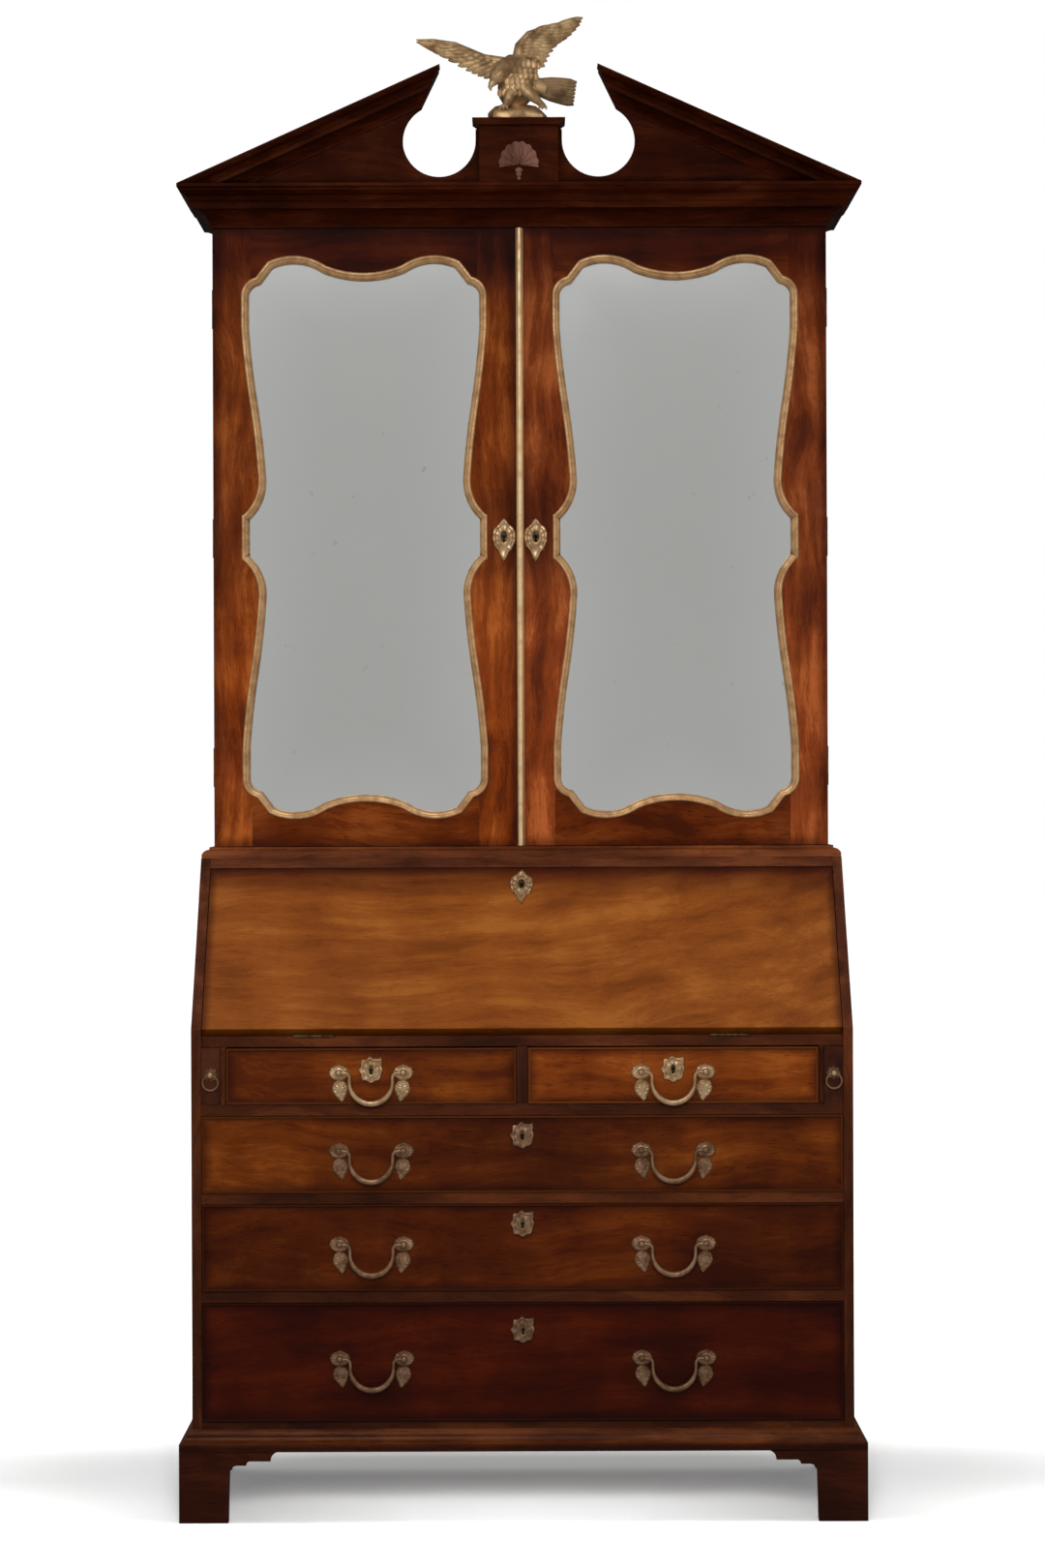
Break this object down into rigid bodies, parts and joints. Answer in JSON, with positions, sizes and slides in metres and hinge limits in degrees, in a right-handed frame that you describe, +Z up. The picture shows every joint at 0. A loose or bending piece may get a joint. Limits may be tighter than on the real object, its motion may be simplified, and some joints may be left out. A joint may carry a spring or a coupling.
{
  "type": "bureau cabinet",
  "caption": "Tall mahogany bureau cabinet: drawers and a slanted writing fall below, a mirrored two-door cupboard with a broken pediment and eagle finial above.",
  "frame": {"origin": "on the floor, in the middle of the width and the depth", "axes": "+Z up, -Y out of the front, +X to the right as seen from the front"},
  "size_m": [1.119, 0.6, 2.4289],
  "materials": {
    "mahogany": "french polished",
    "oak": "raw, darkened with age",
    "brass": "aged, lacquered",
    "gilding": "carved and gilded",
    "mirror": "old silvered plate"
  },
  "bodies": {
    "carcase": {"hinge_leaves_fixed": "brass", "bureau_side_left": "mahogany", "bureau_side_right": "mahogany", "bureau_bottom_board": "mahogany", "bureau_back_boards": "oak", "bureau_top_board": "mahogany", "writing_bed": "mahogany", "dustboards": "mahogany", "drawer_partitions": "mahogany", "base_moulding": "mahogany", "front_feet": "mahogany", "back_feet": "mahogany", "pigeonhole_nest": "mahogany", "cabinet_side_left": "mahogany", "cabinet_side_right": "mahogany", "cabinet_bottom_board": "mahogany", "cabinet_top_board": "mahogany", "cabinet_back_boards": "oak", "cabinet_shelves": "mahogany", "waist_moulding": "mahogany", "cornice": "mahogany", "pediment_board": "mahogany", "raking_cornices": "mahogany", "pediment_plinth": "mahogany", "eagle_finial": "gilding"},
    "fall": {"fall_panel": "mahogany", "fall_brasses": "brass"},
    "small_drawer_left": {"small_drawer_left": "mahogany"},
    "small_drawer_right": {"small_drawer_right": "mahogany"},
    "short_drawer_left": {"short_drawer_left": "mahogany", "short_drawer_left_brasses": "brass"},
    "short_drawer_left_bail": {"short_drawer_left_bail": "brass"},
    "short_drawer_right": {"short_drawer_right": "mahogany", "short_drawer_right_brasses": "brass"},
    "short_drawer_right_bail": {"short_drawer_right_bail": "brass"},
    "long_drawer_upper": {"long_drawer_upper": "mahogany", "long_drawer_upper_brasses": "brass"},
    "long_drawer_upper_bail_left": {"long_drawer_upper_bail_left": "brass"},
    "long_drawer_upper_bail_right": {"long_drawer_upper_bail_right": "brass"},
    "long_drawer_middle": {"long_drawer_middle": "mahogany", "long_drawer_middle_brasses": "brass"},
    "long_drawer_middle_bail_left": {"long_drawer_middle_bail_left": "brass"},
    "long_drawer_middle_bail_right": {"long_drawer_middle_bail_right": "brass"},
    "long_drawer_low": {"long_drawer_low": "mahogany", "long_drawer_low_brasses": "brass"},
    "long_drawer_low_bail_left": {"long_drawer_low_bail_left": "brass"},
    "long_drawer_low_bail_right": {"long_drawer_low_bail_right": "brass"},
    "loper_left": {"loper_left": "mahogany"},
    "loper_ring_left": {"loper_ring_left": "brass"},
    "loper_right": {"loper_right": "mahogany"},
    "loper_ring_right": {"loper_ring_right": "brass"},
    "left_door": {"left_door_frame": "mahogany", "left_door_mirror": "mirror", "left_door_gilt_slip": "gilding", "left_door_brasses": "brass"},
    "right_door": {"right_door_frame": "mahogany", "right_door_mirror": "mirror", "right_door_gilt_slip": "gilding", "right_door_brasses": "brass", "right_door_astragal": "gilding"}
  },
  "joints": [
    {"name": "left_door_hinge", "type": "hinge", "parent": "carcase", "child": "left_door", "pos_m": [-0.5045, 0.0232, 1.57242], "axis": [0, 0, -1], "range_deg": [0, 170]},
    {"name": "right_door_hinge", "type": "hinge", "parent": "carcase", "child": "right_door", "pos_m": [0.5045, 0.0232, 1.57242], "axis": [0, 0, 1], "range_deg": [0, 170]},
    {"name": "fall_hinge", "type": "hinge", "parent": "carcase", "child": "fall", "pos_m": [0, -0.26765, 0.7673], "axis": [1, 0, 0], "range_deg": [0, 133.4]},
    {"name": "loper_left_slide", "type": "slide", "parent": "carcase", "child": "loper_left", "axis": [0, -1, 0], "range_m": [0, 0.33]},
    {"name": "loper_right_slide", "type": "slide", "parent": "carcase", "child": "loper_right", "axis": [0, -1, 0], "range_m": [0, 0.33]},
    {"name": "short_drawer_left_slide", "type": "slide", "parent": "carcase", "child": "short_drawer_left", "axis": [0, -1, 0], "range_m": [0, 0.42]},
    {"name": "short_drawer_right_slide", "type": "slide", "parent": "carcase", "child": "short_drawer_right", "axis": [0, -1, 0], "range_m": [0, 0.42]},
    {"name": "long_drawer_upper_slide", "type": "slide", "parent": "carcase", "child": "long_drawer_upper", "axis": [0, -1, 0], "range_m": [0, 0.42]},
    {"name": "long_drawer_middle_slide", "type": "slide", "parent": "carcase", "child": "long_drawer_middle", "axis": [0, -1, 0], "range_m": [0, 0.42]},
    {"name": "long_drawer_low_slide", "type": "slide", "parent": "carcase", "child": "long_drawer_low", "axis": [0, -1, 0], "range_m": [0, 0.42]},
    {"name": "small_drawer_left_slide", "type": "slide", "parent": "carcase", "child": "small_drawer_left", "axis": [0, -1, 0], "range_m": [0, 0.15]},
    {"name": "small_drawer_right_slide", "type": "slide", "parent": "carcase", "child": "small_drawer_right", "axis": [0, -1, 0], "range_m": [0, 0.15]},
    {"name": "short_drawer_left_bail_pivot", "type": "hinge", "parent": "short_drawer_left", "child": "short_drawer_left_bail", "pos_m": [-0.23925, -0.293, 0.71005], "axis": [-1, 0, 0], "range_deg": [0, 85]},
    {"name": "short_drawer_right_bail_pivot", "type": "hinge", "parent": "short_drawer_right", "child": "short_drawer_right_bail", "pos_m": [0.23925, -0.293, 0.71005], "axis": [-1, 0, 0], "range_deg": [0, 85]},
    {"name": "long_drawer_upper_bail_left_pivot", "type": "hinge", "parent": "long_drawer_upper", "child": "long_drawer_upper_bail_left", "pos_m": [-0.23925, -0.293, 0.58635], "axis": [-1, 0, 0], "range_deg": [0, 85]},
    {"name": "long_drawer_upper_bail_right_pivot", "type": "hinge", "parent": "long_drawer_upper", "child": "long_drawer_upper_bail_right", "pos_m": [0.23925, -0.293, 0.58635], "axis": [-1, 0, 0], "range_deg": [0, 85]},
    {"name": "long_drawer_middle_bail_left_pivot", "type": "hinge", "parent": "long_drawer_middle", "child": "long_drawer_middle_bail_left", "pos_m": [-0.23925, -0.293, 0.43835], "axis": [-1, 0, 0], "range_deg": [0, 85]},
    {"name": "long_drawer_middle_bail_right_pivot", "type": "hinge", "parent": "long_drawer_middle", "child": "long_drawer_middle_bail_right", "pos_m": [0.23925, -0.293, 0.43835], "axis": [-1, 0, 0], "range_deg": [0, 85]},
    {"name": "long_drawer_low_bail_left_pivot", "type": "hinge", "parent": "long_drawer_low", "child": "long_drawer_low_bail_left", "pos_m": [-0.23925, -0.293, 0.25735], "axis": [-1, 0, 0], "range_deg": [0, 85]},
    {"name": "long_drawer_low_bail_right_pivot", "type": "hinge", "parent": "long_drawer_low", "child": "long_drawer_low_bail_right", "pos_m": [0.23925, -0.293, 0.25735], "axis": [-1, 0, 0], "range_deg": [0, 85]},
    {"name": "loper_ring_left_pivot", "type": "hinge", "parent": "loper_left", "child": "loper_ring_left", "pos_m": [-0.4935, -0.29, 0.7069], "axis": [-1, 0, 0], "range_deg": [0, 90]},
    {"name": "loper_ring_right_pivot", "type": "hinge", "parent": "loper_right", "child": "loper_ring_right", "pos_m": [0.4935, -0.29, 0.7069], "axis": [-1, 0, 0], "range_deg": [0, 90]}
  ]
}
